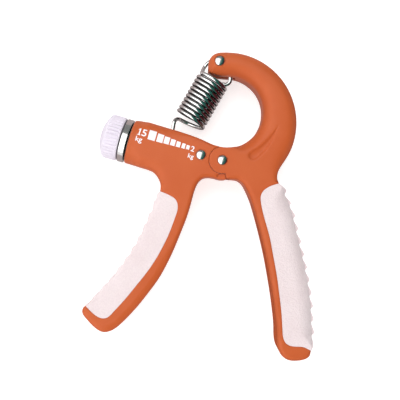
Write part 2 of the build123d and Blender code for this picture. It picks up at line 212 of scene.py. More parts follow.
def spline(points, step=0.5):
    """Natural cubic through the points, sampled about every step millimetres."""
    p = np.array(points, float)
    chord = np.linalg.norm(np.diff(p, axis=0), axis=1)
    n = len(p)
    a = np.zeros((n, n))
    rhs = np.zeros((n, 2))
    a[0, 0] = a[-1, -1] = 1
    for i in range(1, n - 1):
        a[i, i - 1] = chord[i - 1]
        a[i, i] = 2 * (chord[i - 1] + chord[i])
        a[i, i + 1] = chord[i]
        rhs[i] = 6 * ((p[i + 1] - p[i]) / chord[i] - (p[i] - p[i - 1]) / chord[i - 1])
    bend = np.linalg.solve(a, rhs)
    out = []
    for i in range(n - 1):
        count = max(2, int(math.ceil(chord[i] / step)))
        for u in np.arange(count) / count * chord[i]:
            v = chord[i] - u
            curve = (bend[i] * v**3 + bend[i + 1] * u**3) / (6 * chord[i])
            line = (p[i] / chord[i] - bend[i] * chord[i] / 6) * v
            line += (p[i + 1] / chord[i] - bend[i + 1] * chord[i] / 6) * u
            out.append(curve + line)
    out.append(p[-1])
    return np.array(out)


def closed_spline(points, step=0.5):
    """Closed smooth curve: the points are repeated past both ends and one round is kept."""
    wrapped = points[-3:] + points + points[:4]
    dense = spline(wrapped, step)
    first = int(np.argmin(np.linalg.norm(dense - np.array(points[0]), axis=1)))
    rest = dense[first + 2:]
    last = int(np.argmin(np.linalg.norm(rest - np.array(points[0]), axis=1))) + first + 2
    return dense[first:last]


def polar(radius, degrees, centre=(0, 0)):
    angle = math.radians(degrees)
    return np.array([centre[0] + radius * math.cos(angle), centre[1] + radius * math.sin(angle)])


def arc(radius, start, end, centre=(0, 0), step=0.4):
    """Points along an arc between two angles in degrees."""
    count = max(3, int(abs(math.radians(end - start)) * radius / step))
    return np.array([polar(radius, d, centre) for d in np.linspace(start, end, count + 1)])


def chain(*runs):
    """One closed loop from runs of points, without repeated points."""
    points = []
    for p in np.concatenate(runs):
        if not points or np.linalg.norm(p - points[-1]) > 0.04:
            points.append(p)
    if np.linalg.norm(points[0] - points[-1]) < 0.04:
        points.pop()
    return np.array(points)


def distance(points, line, closed=True):
    """Distance from each point to a line, which is a closed loop unless told otherwise."""
    points = np.asarray(points, float)
    a = line if closed else line[:-1]
    b = np.roll(line, -1, axis=0) if closed else line[1:]
    ab = b - a
    length2 = (ab**2).sum(1)
    best = np.full(len(points), 1e9)
    for first in range(0, len(points), 2000):
        part = points[first:first + 2000]
        ap = part[:, None, :] - a[None]
        t = np.clip((ap * ab[None]).sum(2) / length2[None], 0, 1)
        gap = np.linalg.norm(ap - t[..., None] * ab[None], axis=2)
        best[first:first + 2000] = gap.min(1)
    return best


def inside(points, loop):
    """Which points lie inside a closed loop."""
    x, y = points[:, 0], points[:, 1]
    result = np.zeros(len(points), bool)
    for a, b in zip(loop, np.roll(loop, -1, axis=0)):
        crosses = (a[1] > y) != (b[1] > y)
        if crosses.any():
            at = a[0] + (y - a[1]) / (b[1] - a[1] + 1e-12) * (b[0] - a[0])
            result ^= crosses & (x < at)
    return result


def smooth(t):
    """0 below 0, 1 above 1, and an S-shaped rise between."""
    t = np.clip(t, 0, 1)
    return t * t * (3 - 2 * t)


def shrink(loop, amount):
    """Loop moved inward, or outward when the amount is negative."""
    ahead, behind = np.roll(loop, -1, axis=0), np.roll(loop, 1, axis=0)
    along = ahead - behind
    along /= np.linalg.norm(along, axis=1)[:, None]
    area = (loop[:, 0] * ahead[:, 1] - ahead[:, 0] * loop[:, 1]).sum()
    inward = np.stack([-along[:, 1], along[:, 0]], 1) * (1 if area > 0 else -1)
    return loop + inward * amount


# ================= meshes =================


def link(name, data):
    """Object in the scene for a mesh, curve, light or camera."""
    obj = bpy.data.objects.new(name, data)
    bpy.context.scene.collection.objects.link(obj)
    return obj


def add_mesh(name, verts, faces):
    """Object from vertices in millimetres."""
    mesh = bpy.data.meshes.new(name)
    mesh.from_pydata([tuple(np.array(v) * MM) for v in verts], [], [tuple(f) for f in faces])
    mesh.update()
    return link(name, mesh)


def tidy(obj, sharp_deg=34):
    """Merges doubled points, turns faces outward and shades smooth except at sharp edges."""
    bm = bmesh.new()
    bm.from_mesh(obj.data)
    bmesh.ops.remove_doubles(bm, verts=bm.verts, dist=2e-6)
    bmesh.ops.dissolve_degenerate(bm, edges=bm.edges, dist=1e-6)
    bmesh.ops.recalc_face_normals(bm, faces=bm.faces)
    bm.to_mesh(obj.data)
    bm.free()
    for poly in obj.data.polygons:
        poly.use_smooth = True
    obj.data.set_sharp_from_angle(angle=math.radians(sharp_deg))
    return obj


def surface_points(loop, extra, spacing, creases=()):
    """Points inside a loop: rows along its edge, an even field, and finer rows at wells and creases."""
    rows = []
    for k, offset in enumerate(RING_OFFSETS):
        row = shrink(loop, offset)
        if k % 2:
            row = row[::2] if offset > 1 else row
        gap = distance(row, loop)
        rows.append(row[(gap > offset * 0.97) & inside(row, loop)])
    low, high = loop.min(0), loop.max(0)
    xs = np.arange(low[0], high[0], spacing)
    ys = np.arange(low[1], high[1], spacing * 0.866)
    grid = np.array([(x + (j % 2) * spacing / 2, y) for j, y in enumerate(ys) for x in xs])
    grid = grid[inside(grid, loop)]
    grid = grid[distance(grid, loop) > RING_OFFSETS[-1] + spacing * 0.5]
    points = np.concatenate(rows + [grid])
    for crease in creases:
        points = points[~inside(points, crease) & (distance(points, crease) > 0.5)]
        rows = []
        for offset in CREASE_OFFSETS:
            row = shrink(crease, offset)
            rows.append(row[distance(row, crease) > abs(offset) * 0.95])
        core = grid[inside(grid, crease)]
        core = core[distance(core, crease) > 1.8]
        points = np.concatenate([points, core] + rows)
    for centre, radii in extra:
        gap = np.linalg.norm(points - centre, axis=1)
        points = points[gap > max(radii) + 0.15]
        circles = [arc(r, 0, 360, centre, max(0.16, r * 0.11))[:-1] for r in radii]
        fresh = np.concatenate(circles)
        fresh = fresh[inside(fresh, loop)]
        fresh = fresh[distance(fresh, loop) > 0.05]
        points = np.concatenate([points, fresh])
    return points


def slab(name, loop, height, extra=(), spacing=0.9, creases=()):
    """Closed solid over a loop, its front and back faces the same height from the middle plane."""
    field = surface_points(loop, extra, spacing, creases)
    flat = [Vector(p) for p in np.concatenate([loop, field])]
    count = len(loop)
    rim = [(i, (i + 1) % count) for i in range(count)]
    verts, _, tris, _, _, _ = delaunay_2d_cdt(flat, rim, [], 1, 1e-5)
    flat = np.array([tuple(v) for v in verts])
    h = height(flat, distance(flat, loop))
    top = np.column_stack([flat, MID + h])
    bottom = np.column_stack([flat, MID - h])
    n = len(flat)
    faces = [tuple(t) for t in tris]
    edges = dict.fromkeys((t[i], t[(i + 1) % len(t)]) for t in tris for i in range(len(t)))
    faces += [tuple(i + n for i in reversed(t)) for t in tris]
    faces += [(b, a, a + n, b + n) for a, b in edges if (b, a) not in edges]
    return tidy(add_mesh(name, np.concatenate([top, bottom]), faces))


def prism(name, loop, low, high):
    """Straight-walled solid over a loop."""
    n = len(loop)
    verts = [(*p, low) for p in loop] + [(*p, high) for p in loop]
    faces = [tuple(reversed(range(n))), tuple(range(n, 2 * n))]
    faces += [(i, (i + 1) % n, (i + 1) % n + n, i + n) for i in range(n)]
    return tidy(add_mesh(name, verts, faces))


def rectangle(x, y):
    return np.array([(x[0], y[0]), (x[1], y[0]), (x[1], y[1]), (x[0], y[1])])


def combine(obj, other, operation):
    """Boolean with another object, which is used up."""
    modifier = obj.modifiers.new("cut", "BOOLEAN")
    modifier.operation = operation
    modifier.solver = "EXACT"
    modifier.object = other
    bpy.context.view_layer.update()
    evaluated = obj.evaluated_get(bpy.context.evaluated_depsgraph_get())
    mesh = bpy.data.meshes.new_from_object(evaluated)
    obj.modifiers.clear()
    obj.data = mesh
    bpy.data.objects.remove(other)
    return tidy(obj)


def turned(name, profile, axis_point, along, segments=160, ripple=None):
    """Solid of revolution. Its profile of (along, radius) ends on the axis or closes on itself."""
    along = np.array(along, float)
    side = np.array([0, 1, 0]) if abs(along[0]) > 0.5 else np.array([1, 0, 0])
    up = np.cross(along, side)
    closed = profile[0][1] > 0.001
    verts = []
    faces = []
    for j in range(segments):
        angle = 2 * math.pi * j / segments
        ray = math.cos(angle) * side + math.sin(angle) * up
        for s, r in profile:
            radius = r + ripple(s, r, angle) if ripple else r
            verts.append(np.array(axis_point) + along * s + ray * radius)
    n = len(profile)
    for j in range(segments):
        k = (j + 1) % segments
        for i in range(n if closed else n - 1):
            m = (i + 1) % n
            faces.append((j * n + i, j * n + m, k * n + m, k * n + i))
    return tidy(add_mesh(name, verts, faces))


def rounded(points, radius, steps=4):
    """Profile with all corners but its two ends rounded."""
    p = [np.array(q, float) for q in points]
    out = [p[0]]
    for a, b, c in zip(p, p[1:], p[2:]):
        reach = min(radius, np.linalg.norm(a - b) / 2.05, np.linalg.norm(c - b) / 2.05)
        start = b + (a - b) / np.linalg.norm(a - b) * reach
        end = b + (c - b) / np.linalg.norm(c - b) * reach
        for t in np.linspace(0, 1, steps + 1):
            out.append((1 - t) ** 2 * start + 2 * t * (1 - t) * b + t * t * end)
    out.append(p[-1])
    return out


def tube(name, path, radius, sides=20):
    """Round wire along a path of 3-D points, closed with rounded ends."""
    p = np.array(path, float)
    tangent = np.gradient(p, axis=0)
    tangent /= np.linalg.norm(tangent, axis=1)[:, None]
    normal = np.cross(tangent[0], [0, 0, 1.0])
    if np.linalg.norm(normal) < 0.1:
        normal = np.cross(tangent[0], [1.0, 0, 0])
    normal /= np.linalg.norm(normal)
    rows = []
    for i, t in enumerate(tangent):
        normal = normal - t * normal.dot(t)
        normal /= np.linalg.norm(normal)
        rows.append((p[i], t, normal.copy()))
    sections = []
    at, way, n = rows[0]
    for t in map(math.radians, (80, 60, 40, 20)):
        sections.append((at - way * radius * math.sin(t), way, n, math.cos(t)))
    sections += [(*row, 1.0) for row in rows]
    at, way, n = rows[-1]
    for t in map(math.radians, (20, 40, 60, 80)):
        sections.append((at + way * radius * math.sin(t), way, n, math.cos(t)))
    verts = []
    faces = []
    for at, way, n, share in sections:
        b = np.cross(way, n)
        for j in range(sides):
            angle = 2 * math.pi * j / sides
            verts.append(at + (math.cos(angle) * n + math.sin(angle) * b) * radius * share)
    count = len(sections)
    for i in range(count - 1):
        for j in range(sides):
            k = (j + 1) % sides
            faces.append((i * sides + j, i * sides + k, (i + 1) * sides + k, (i + 1) * sides + j))
    faces.append(tuple(reversed(range(sides))))
    faces.append(tuple(range((count - 1) * sides, count * sides)))
    return tidy(add_mesh(name, verts, faces), 60)


# ================= materials =================


def material(name, base, roughness, metallic=0.0, coat=0.0, specular=0.5):
    mat = bpy.data.materials.new(name)
    mat.use_nodes = True
    shader = mat.node_tree.nodes["Principled BSDF"]
    shader.inputs["Base Color"].default_value = (*base, 1)
    shader.inputs["Roughness"].default_value = roughness
    shader.inputs["Metallic"].default_value = metallic
    shader.inputs["Coat Weight"].default_value = coat
    shader.inputs["Specular IOR Level"].default_value = specular
    return mat, mat.node_tree, shader


def noise(tree, scale, detail=3.0, rough=0.5):
    """Noise in the piece's own coordinates; scale is in features per metre."""
    where = tree.nodes.new("ShaderNodeTexCoord")
    node = tree.nodes.new("ShaderNodeTexNoise")
    node.inputs["Scale"].default_value = scale
    node.inputs["Detail"].default_value = detail
    node.inputs["Roughness"].default_value = rough
    tree.links.new(where.outputs["Object"], node.inputs["Vector"])
    return node


def ramp(tree, source, low, high, start=0.3, end=0.7):
    """Colour or value between two ends, driven by a node's first output."""
    node = tree.nodes.new("ShaderNodeValToRGB")
    node.color_ramp.elements[0].position = start
    node.color_ramp.elements[1].position = end
    node.color_ramp.elements[0].color = (*low, 1)
    node.color_ramp.elements[1].color = (*high, 1)
    tree.links.new(source, node.inputs["Fac"])
    return node


def bump(tree, shader, source, distance_mm, strength=1.0, below=None):
    """Bump on the shader's normal, on top of an earlier one if that is given."""
    node = tree.nodes.new("ShaderNodeBump")
    node.inputs["Distance"].default_value = distance_mm * MM
    node.inputs["Strength"].default_value = strength
    tree.links.new(source, node.inputs["Height"])
    if below:
        tree.links.new(below.outputs["Normal"], node.inputs["Normal"])
    tree.links.new(node.outputs["Normal"], shader.inputs["Normal"])
    return node


def plastic(name, dark, light, roughness=(0.34, 0.46), grain_mm=0.35, depth_mm=0.006, specular=0.4):
    """Moulded plastic: slow drift of colour, fine grain, uneven gloss."""
    mat, tree, shader = material(name, light, roughness[0], specular=specular)
    drift = noise(tree, 55, 4)
    colour = ramp(tree, drift.outputs["Fac"], dark, light)
    tree.links.new(colour.outputs["Color"], shader.inputs["Base Color"])
    patch = noise(tree, 260, 3)
    gloss = ramp(tree, patch.outputs["Fac"], (roughness[0],) * 3, (roughness[1],) * 3)
    tree.links.new(gloss.outputs["Color"], shader.inputs["Roughness"])
    grain = noise(tree, 1 / (grain_mm * MM), 2)
    first = bump(tree, shader, grain.outputs["Fac"], depth_mm)
    wave = noise(tree, 160, 1)
    bump(tree, shader, wave.outputs["Fac"], depth_mm * 5, 0.6, first)
    return mat


def multiply(tree, shader, first, second):
    """Sets the base colour to the product of two colour outputs."""
    both = tree.nodes.new("ShaderNodeMix")
    both.data_type = "RGBA"
    both.blend_type = "MULTIPLY"
    both.inputs["Factor"].default_value = 1.0
    tree.links.new(first, both.inputs["A"])
    tree.links.new(second, both.inputs["B"])
    tree.links.new(both.outputs["Result"], shader.inputs["Base Color"])


def soft_grip():
    """Soft moulded elastomer: matt, with a fine pebbled skin and a faint mottle."""
    mat, tree, shader = material("soft_grip", (0.87, 0.76, 0.765), 0.72, specular=0.3)
    shader.inputs["Sheen Weight"].default_value = 0.12
    shader.inputs["Sheen Roughness"].default_value = 0.5
    drift = noise(tree, 70, 5)
    colour = ramp(tree, drift.outputs["Fac"], (0.795, 0.68, 0.683), (0.835, 0.735, 0.738))
    speckle = noise(tree, 1 / (0.7 * MM), 3, 0.65)
    spots = ramp(tree, speckle.outputs["Fac"], (0.94, 0.925, 0.94), (1.0, 1.0, 1.0), 0.35, 0.62)
    multiply(tree, shader, colour.outputs["Color"], spots.outputs["Color"])
    where = tree.nodes.new("ShaderNodeTexCoord")
    pebbles = tree.nodes.new("ShaderNodeTexVoronoi")
    pebbles.inputs["Scale"].default_value = 1 / (0.7 * MM)
    tree.links.new(where.outputs["Object"], pebbles.inputs["Vector"])
    first = bump(tree, shader, pebbles.outputs["Distance"], 0.12, 1.0)
    grain = noise(tree, 1 / (1.2 * MM), 4, 0.6)
    bump(tree, shader, grain.outputs["Fac"], 0.22, 1.0, first)
    return mat


def metal(name, base, roughness, grain_mm, stretch=(1, 1, 1), depth_mm=0.002):
    """Polished or turned metal: fine lines along one way and small changes in gloss."""
    mat, tree, shader = material(name, base, roughness[0], metallic=1.0)
    where = tree.nodes.new("ShaderNodeTexCoord")
    scale = tree.nodes.new("ShaderNodeMapping")
    scale.inputs["Scale"].default_value = stretch
    tree.links.new(where.outputs["Object"], scale.inputs["Vector"])
    lines = tree.nodes.new("ShaderNodeTexNoise")
    lines.inputs["Scale"].default_value = 1 / (grain_mm * MM)
    lines.inputs["Detail"].default_value = 3
    tree.links.new(scale.outputs["Vector"], lines.inputs["Vector"])
    gloss = ramp(tree, lines.outputs["Fac"], (roughness[0],) * 3, (roughness[1],) * 3)
    tree.links.new(gloss.outputs["Color"], shader.inputs["Roughness"])
    tone = noise(tree, 420, 3)
    tint = ramp(tree, tone.outputs["Fac"], tuple(c * 0.9 for c in base), base)
    tree.links.new(tint.outputs["Color"], shader.inputs["Base Color"])
    bump(tree, shader, lines.outputs["Fac"], depth_mm)
    return mat


def multiply_painted_shade(mat):
    """Multiplies the base colour by the piece's stored painted shade: dark between the coil's turns and
    in the ring's seams.
    """
    tree = mat.node_tree
    shader = tree.nodes["Principled BSDF"]
    tone = shader.inputs["Base Color"].links[0].from_socket
    mark = tree.nodes.new("ShaderNodeVertexColor")
    mark.layer_name = "unshaded"
    multiply(tree, shader, tone, mark.outputs["Color"])


ORANGE = plastic("orange_plastic", (0.515, 0.098, 0.025), (0.545, 0.113, 0.032), specular=0.25)
GRIP = soft_grip()
KNOB_PLASTIC = plastic(
    "knob_plastic", (0.745, 0.685, 0.775), (0.785, 0.73, 0.815), (0.4, 0.5), 0.3, 0.004
)
NYLON = plastic("nylon", (0.66, 0.65, 0.6), (0.74, 0.73, 0.69), (0.4, 0.55), 0.4, 0.006)
RING_METAL = metal("polished_ring", (0.84, 0.83, 0.81), (0.12, 0.2), 0.25, (0.05, 1, 1))
STEEL = metal("bright_steel", (0.78, 0.78, 0.77), (0.18, 0.26), 0.3)
WIRE = metal("spring_steel", (0.86, 0.85, 0.84), (0.08, 0.16), 0.2, (1, 1, 1))
# Polished ring darkened by painted shade inside its seams.
RING_SEAM_SHADED = metal("ring_with_painted_seam_shade", (0.84, 0.83, 0.81), (0.12, 0.2), 0.25, (0.05, 1, 1))
# Spring steel darkened by painted shade where the coil's turns face each other.
WIRE_CREVICE_SHADED = metal("coiled_wire_painted_shade", (0.86, 0.85, 0.84), (0.08, 0.16), 0.2, (1, 1, 1))
multiply_painted_shade(RING_SEAM_SHADED)
multiply_painted_shade(WIRE_CREVICE_SHADED)
ZINC = metal("plated_steel", (0.6, 0.6, 0.57), (0.22, 0.38), 0.25, (0.2, 1, 1), 0.004)
BRASS = metal("brass", (0.72, 0.50, 0.21), (0.2, 0.32), 0.3, (0.2, 1, 1), 0.003)
PRINT = plastic("white_print", (0.84, 0.81, 0.84), (0.9, 0.87, 0.9), (0.5, 0.6), 0.2, 0.003)


def finish_piece(obj, mat, body, slot, *nodes):
    """Gives a new piece its material and its body, and hides the CAD nodes that it stands for. The slot
    argument is not used.
    """
    obj.data.materials.clear()
    obj.data.materials.append(mat)
    if nodes:
        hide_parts(*nodes)
    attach(obj, body)
    return obj


# ================= the two arms =================


def edge_drop(d, radius):
    """How far a rounded edge has fallen at a distance from the outline."""
    inner = radius - np.minimum(d, radius)
    return radius - np.sqrt(np.maximum(radius**2 - inner**2, 0))


def recess(points, centre):
    """Depth of the shallow well round a pin's head."""
    gap = np.linalg.norm(points - np.array(centre[:2]), axis=1)
    return RECESS_DEPTH * smooth((RECESS_R + 0.22 - gap) / 0.3)


def edge_gaps(points, d, line):
    """Distance to the arm's free edge and to its edge along the grip."""
    grip_edge = distance(points, spline(line), closed=False)
    free_edge = np.where(grip_edge < d + 0.02, 9.0, d)
    return free_edge, grip_edge


def edge_strip(d, width):
    """Drop of the sloping strip along the free edge of a handle."""
    return STRIP_SLOPE * np.maximum(width - d, 0)


def fixed_loop():
    top = spline(FIXED_TOP)
    seat = arc(SEAT_R, 118.3, 270)
    inner = spline([(0, -SEAT_R - 0.25), (0, -HEEL_R + 0.25)])
    lip = spline([(-0.3, -HEEL_R)] + FIXED_INNER)
    line = spline(FIXED_GRIP_LINE)
    armpit = spline(FIXED_ARMPIT)
    end = spline([(-42.0, -14.5), (BARREL_END + 0.5, -14.5)])
    face = spline([(BARREL_END, -14.1), (BARREL_END, 6.5)])
    return chain(top, seat, inner, lip, line, armpit, end, face)


def fixed_height(points, d):
    """Half thickness: a flat plate with rounded edges that turns into the round barrel."""
    x, y = points[:, 0], points[:, 1]
    barrel = smooth((-15 - x) / 19) * smooth((y + 24) / 10)
    from_pivot = np.linalg.norm(points, axis=1)
    near_seat = 1 - smooth((from_pivot - SEAT_R) / 1.6)
    corner = BARREL_ROUND + (HALF - BARREL_ROUND) * smooth((-38 - x) / 6)
    round_drop = edge_drop(np.maximum(BARREL_TOP - y, 0), corner)
    barrel_low = [(-42.0, BARREL_BOTTOM), (BARREL_END - 6, BARREL_BOTTOM)]
    underside = np.array([*spline(FIXED_ARMPIT), *barrel_low])
    round_drop += edge_drop(distance(points, underside, closed=False), corner)
    round_drop += edge_drop(np.maximum(x - BARREL_END, 0), 0.6)
    free_edge, grip_edge = edge_gaps(points, d, FIXED_GRIP_LINE)
    plate_drop = edge_drop(free_edge, 1.7 * (1 - near_seat) + DISC_EDGE_ROUND * near_seat)
    plate_drop = np.maximum(plate_drop, edge_drop(grip_edge, GRIP_EDGE_ROUND))
    strip = edge_strip(free_edge, 3.0 * smooth((-26 - y) / 34))
    h = HALF - barrel * round_drop - (1 - barrel) * (plate_drop + strip)
    return np.maximum(h - recess(points, RETAINER), THINNEST)


def tongue():
    """Thin middle layer of the hinge, which lies between the two cheeks of the fork."""
    around = arc(TONGUE_R, 113.6, -40)
    heel = arc(HEEL_R - 0.02, -45, -90)
    back = np.array([(-2.5, -9.2), (-8.5, -9.2), (-9.5, 0.0), (-8.5, 4.5), (-4.0, 5.3)])
    return prism("tongue", chain(around, heel, back), MID - TONGUE_HALF, MID + TONGUE_HALF)


def sector(inner_r, outer_r, first, last, half):
    """Piece of a flat ring round the hinge."""
    loop = chain(arc(outer_r, first, last), arc(inner_r, last, first))
    return prism("sector", loop, MID - half, MID + half)


def make_fixed_arm():
    arm = slab("arm_fixed", fixed_loop(), fixed_height, [(RETAINER[:2], RECESS_ROWS)])
    arm = combine(arm, tongue(), "UNION")
    arm = combine(arm, sector(HEEL_INNER_R, HEEL_R, *HEEL_DEG, HEEL_HALF), "UNION")
    slider_low, slider_high = node_box("spring_slider")
    inside_barrel = rectangle((BARREL_END - 1, -13.2), (slider_low[1] - 0.2, 1.5))
    cavity = prism("cutter", inside_barrel, slider_low[2] - 0.2, slider_high[2] + 0.2)
    arm = combine(arm, cavity, "DIFFERENCE")
    opening = rectangle((-39.0, -13.3), (0.5, 12))
    arm = combine(arm, prism("cutter", opening, MID - SLOT_HALF, MID + SLOT_HALF), "DIFFERENCE")
    arm.visible_glossy = False
    return finish_piece(arm, ORANGE, "fixed_arm", "orange_plastic", "housing_arm")


def moving_loop():
    shoulder = spline([polar(DISC_R + 0.2, SHOULDER_DEG), polar(HEEL_R - 0.2, SHOULDER_DEG)])
    inner = spline([tuple(polar(9.4, SHOULDER_DEG + 1.5))] + MOVING_INNER)
    line = spline(MOVING_GRIP_LINE)
    notch = spline(MOVING_NOTCH + [tuple(polar(ARCH_R, -5, ARCH_CENTRE))])
    arch = arc(ARCH_R, -5, 97, ARCH_CENTRE, 0.55)
    tip_start = tuple(polar(ARCH_R, 97, ARCH_CENTRE))
    tip_end = tuple(polar(HOOK_R, 99, HOOK_CENTRE))
    tip = spline([tip_start] + MOVING_TIP + [tip_end])
    window = arc(HOOK_R, 99, WINDOW_END_DEG, HOOK_CENTRE)
    disc = arc(DISC_R, 113.6, 360 + SHOULDER_DEG)
    return chain(shoulder, inner, line, notch, arch, tip, window, disc)


LEAF_LOOP = closed_spline(LEAF)


def moving_height(points, d):
    """Half thickness: flat at the hinge, then softly domed, with the leaf pressed into the arch."""
    y = points[:, 1]
    from_pivot = np.linalg.norm(points, axis=1)
    flat = 1 - smooth((from_pivot - DISC_R - 0.3) / 5)
    arch = smooth((y + 2) / 14)
    radius = (2.0 + 2.6 * arch) * (1 - flat) + DISC_EDGE_ROUND * flat
    dome = (0.35 + 1.05 * arch) * (1 - flat)
    width = 3.0 + 4.5 * arch
    free_edge, grip_edge = edge_gaps(points, d, MOVING_GRIP_LINE)
    fall = edge_drop(free_edge, radius) + dome * (1 - np.minimum(free_edge / width, 1)) ** 2
    fall = fall + edge_strip(free_edge, 0.9 * smooth((-20 - y) / 10) + 1.4 * smooth((-77 - y) / 6))
    h = HALF - np.maximum(fall, edge_drop(grip_edge, GRIP_EDGE_ROUND))
    leaf_gap = distance(points, LEAF_LOOP)
    leaf = np.where(inside(points, LEAF_LOOP), leaf_gap, 0)
    h = h - 0.8 * smooth(leaf / 1.8)
    h = h - recess(points, PIVOT) - recess(points, ANCHOR)
    return np.maximum(h, THINNEST)


def make_moving_arm():
    wells = [(PIVOT[:2], RECESS_ROWS), (ANCHOR[:2], RECESS_ROWS)]
    arm = slab("arm_moving", moving_loop(), moving_height, wells, creases=[LEAF_LOOP])
    hollow = chain(arc(9.7, -100, -14), arc(6.9, -12, 258))
    fork = prism("cutter", hollow, MID - FORK_HALF, MID + FORK_HALF)
    arm = combine(arm, fork, "DIFFERENCE")
    pocket = sector(POCKET_INNER_R, HEEL_SEAT_R, *POCKET_DEG, POCKET_HALF)
    arm = combine(arm, pocket, "DIFFERENCE")
    loop_low, loop_high = node_box("spring_top_loop")
    centre = ((loop_low[0] + loop_high[0]) / 2, loop_high[1] - (loop_high[0] - loop_low[0]) / 2)
    groove = arc(GROOVE_R, 0, 360, centre)[:-1]
    arm = combine(arm, prism("cutter", groove, MID - GROOVE_HALF, MID + GROOVE_HALF), "DIFFERENCE")
    arm.visible_glossy = False
    return finish_piece(arm, ORANGE, "moving_arm", "orange_plastic", "hook_arm")


# ================= soft grips =================


def bumpy(points, count, height):
    """Smooth edge with ribs that rise slowly and fall fast, bulging to its left."""
    base = spline(points, 0.25)
    seg = np.concatenate([[0], np.cumsum(np.linalg.norm(np.diff(base, axis=0), axis=1))])
    t = np.linspace(0, seg[-1], int(seg[-1] / 0.3))
    p = np.column_stack([np.interp(t, seg, base[:, 0]), np.interp(t, seg, base[:, 1])])
    along = np.gradient(p, axis=0)
    along /= np.linalg.norm(along, axis=1)[:, None]
    outward = np.column_stack([-along[:, 1], along[:, 0]])
    share = t / seg[-1]
    phase = share * count % 1
    wave = smooth(phase / 0.78) * (1 - smooth((phase - 0.78) / 0.22))
    fade = smooth(share / 0.06) * smooth((1 - share) / 0.06)
    return p + outward * (wave * height * fade)[:, None]


def make_grip(name, line, back, count, height, outer_round, body, node):
    edge_line = spline(line)
    back_line = spline(back)
    loop = shrink(chain(edge_line, bumpy(back, count, height)), 0.01)

    def surface(points, d):
        to_line = distance(points, edge_line, closed=False)
        to_back = distance(points, back_line, closed=False)
        within = np.where(inside(points, chain(edge_line, back_line)), to_back, 0.0)
        outer = smooth((to_line - 1.0) / 6.0)
        broad = edge_drop(within + 0.2, outer_round * outer + 0.4)
        fall = np.maximum(broad, edge_drop(d, 0.1 + 0.9 * outer))
        return np.maximum(HALF - GRIP_SUNK - fall, THINNEST)

    grip = slab(name, loop, surface)
    return finish_piece(grip, GRIP, body, "soft_grip", node)


# ================= metal pieces, knob and print =================


def make_pin(name, centre, shank_r, body, node):
    low, high = node_box(node)
    tall = high[2] - low[2]
    head = []
    for a in map(math.radians, np.linspace(90, 18, 9)):
        head.append((0.92 * (1 - math.sin(a)), HEAD_R * math.cos(a) / math.cos(math.radians(18))))
    profile = head + [(0.8, HEAD_R), (0.86, HEAD_R - 0.05), (0.86, shank_r)]
    profile += [(tall - s, r) for s, r in reversed(profile)]
    pin = turned(name, profile, (centre[0], centre[1], low[2]), (0, 0, 1), 72)
    return finish_piece(pin, STEEL, body, "bright_steel", node)


def make_collar():
    inner = node_box("barrel_bush")[1][1] - AXIS_Y
    outer = RING_HIGH[1] - AXIS_Y
    wide = RING_HIGH[0] - RING_LOW[0]
    seat = outer - 1.2
    corners = [
        (wide / 2, inner), (0, inner), (0, seat), (RING_SEAMS[0], seat), (RING_SEAMS[0], outer),
        (wide - RING_SEAMS[1], outer), (wide - RING_SEAMS[1], seat), (wide, seat), (wide, inner),
        (wide / 2 + 0.01, inner),
    ]
    profile = rounded(corners, 0.18)
    ring = turned("ring_collar", profile, (RING_LOW[0], AXIS_Y, MID), (1, 0, 0), 200)
    # Painted shade: the ring's faces inside the seams to the knob and the barrel are darkened almost to
    # black.
    marks = ring.data.color_attributes.new("unshaded", "FLOAT_COLOR", "POINT")
    for vertex, mark in zip(ring.data.vertices, marks.data):
        radius = math.hypot(vertex.co.y / MM - AXIS_Y, vertex.co.z / MM - MID)
        unshaded = 0.02 + 0.98 * float(smooth((radius - outer + 0.3) / 0.15))
        mark.color = (unshaded, unshaded, unshaded, 1)
    return finish_piece(ring, RING_SEAM_SHADED, "fixed_arm", "polished_ring", "collar_ring")


def make_knob():
    back = KNOB_HIGH[0]
    outer = (KNOB_HIGH[1] - KNOB_LOW[1]) / 2 - 0.35
    tip = CAP_LOW[0]
    long = back - tip
    corners = [
        (0, 0), (0, outer - 0.2), (0.5, outer + 0.1), (long - 3.6, outer), (long - 2.3, outer - 0.75),
    ]
    rib_zone = (0.5, long - 3.3)
    profile = rounded(corners, 0.8, 5)[:-1]
    flat = []
    for i, (s, r) in enumerate(profile):
        flat.append((s, r))
        if i + 1 < len(profile) and profile[i + 1][0] - s > 1:
            flat += [(s + (profile[i + 1][0] - s) * k / 12, r) for k in range(1, 12)]
    end = flat[-1]
    for t in np.linspace(0, 1, 26)[1:]:
        r = end[1] * (1 - t)
        s = end[0] + (long - end[0]) * (1 - (r / end[1]) ** 2.2)
        groove = 0.28 * math.exp(-((r - 5.2) / 0.16) ** 2)
        flat.append((s - groove, r))
    flat[-1] = (long, 0)

    def ripple(s, r, angle):
        if r < outer - 1.2:
            return 0.0
        zone = float(smooth((s - rib_zone[0]) / 0.5) * smooth((rib_zone[1] - s) / 0.9))
        crest = abs(math.cos(RIBS * angle / 2))
        return (crest - 0.6) * 0.62 * zone

    shell = turned("knob_shell", flat, (back, AXIS_Y, MID), (-1, 0, 0), RIBS * 18, ripple)
    return finish_piece(shell, KNOB_PLASTIC, "knob_and_screw", "knob_plastic", "knob", "knob_cap")


